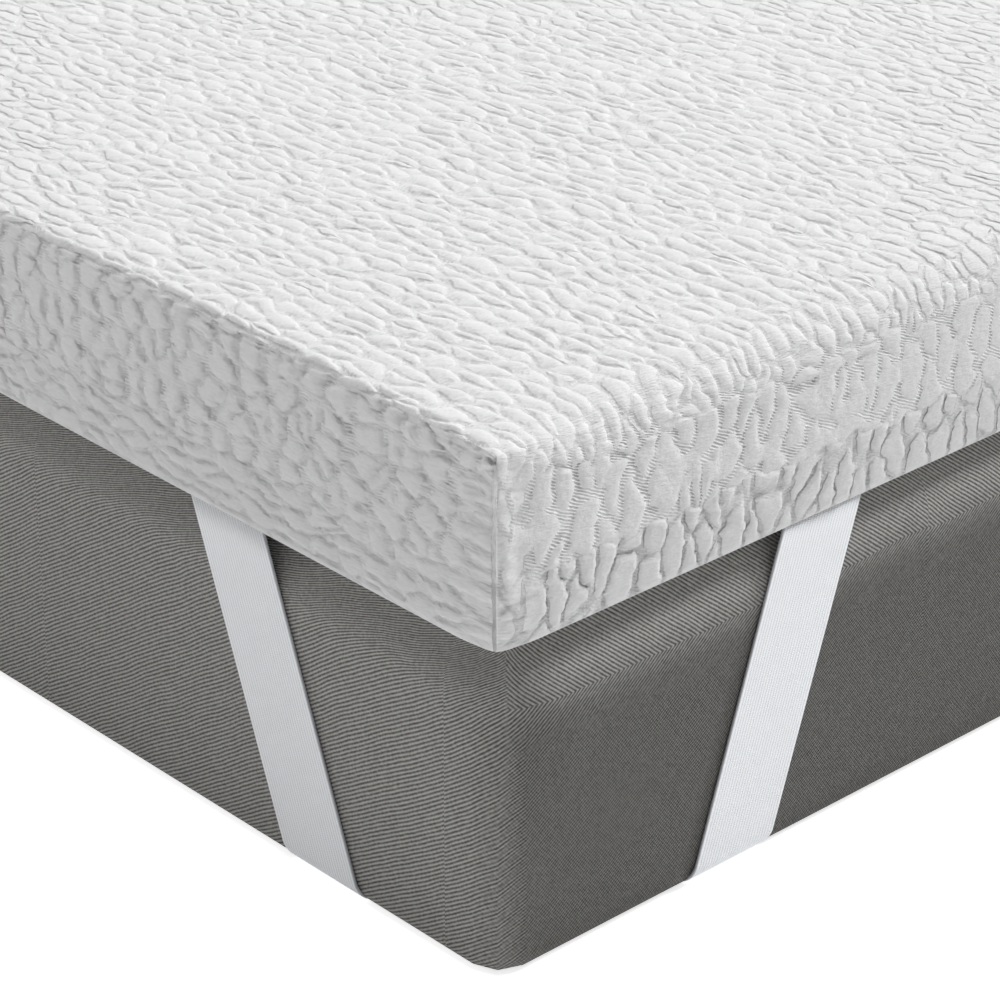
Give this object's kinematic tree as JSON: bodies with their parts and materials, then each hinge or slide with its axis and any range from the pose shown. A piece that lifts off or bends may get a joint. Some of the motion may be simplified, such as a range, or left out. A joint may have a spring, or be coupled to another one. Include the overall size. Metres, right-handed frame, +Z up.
{
  "type": "mattress topper on a mattress",
  "caption": "Thick foam mattress topper in a quilted white knit cover, held on a plain grey mattress by elastic corner straps.",
  "frame": {"origin": "on the surface the mattress lies on, under the middle of the mattress", "axes": "+Z up, X across the bed, Y along the bed"},
  "size_m": [1.003, 1.918, 0.2138],
  "materials": {
    "cover": "matte white quilted knit",
    "elastic": "matte bluish white ribbed elastic",
    "ticking": "matte warm grey twill"
  },
  "bodies": {
    "root": {"mattress": "ticking", "topper": "cover", "strap_0": "elastic", "strap_1": "elastic", "strap_2": "elastic", "strap_3": "elastic"}
  },
  "joints": []
}
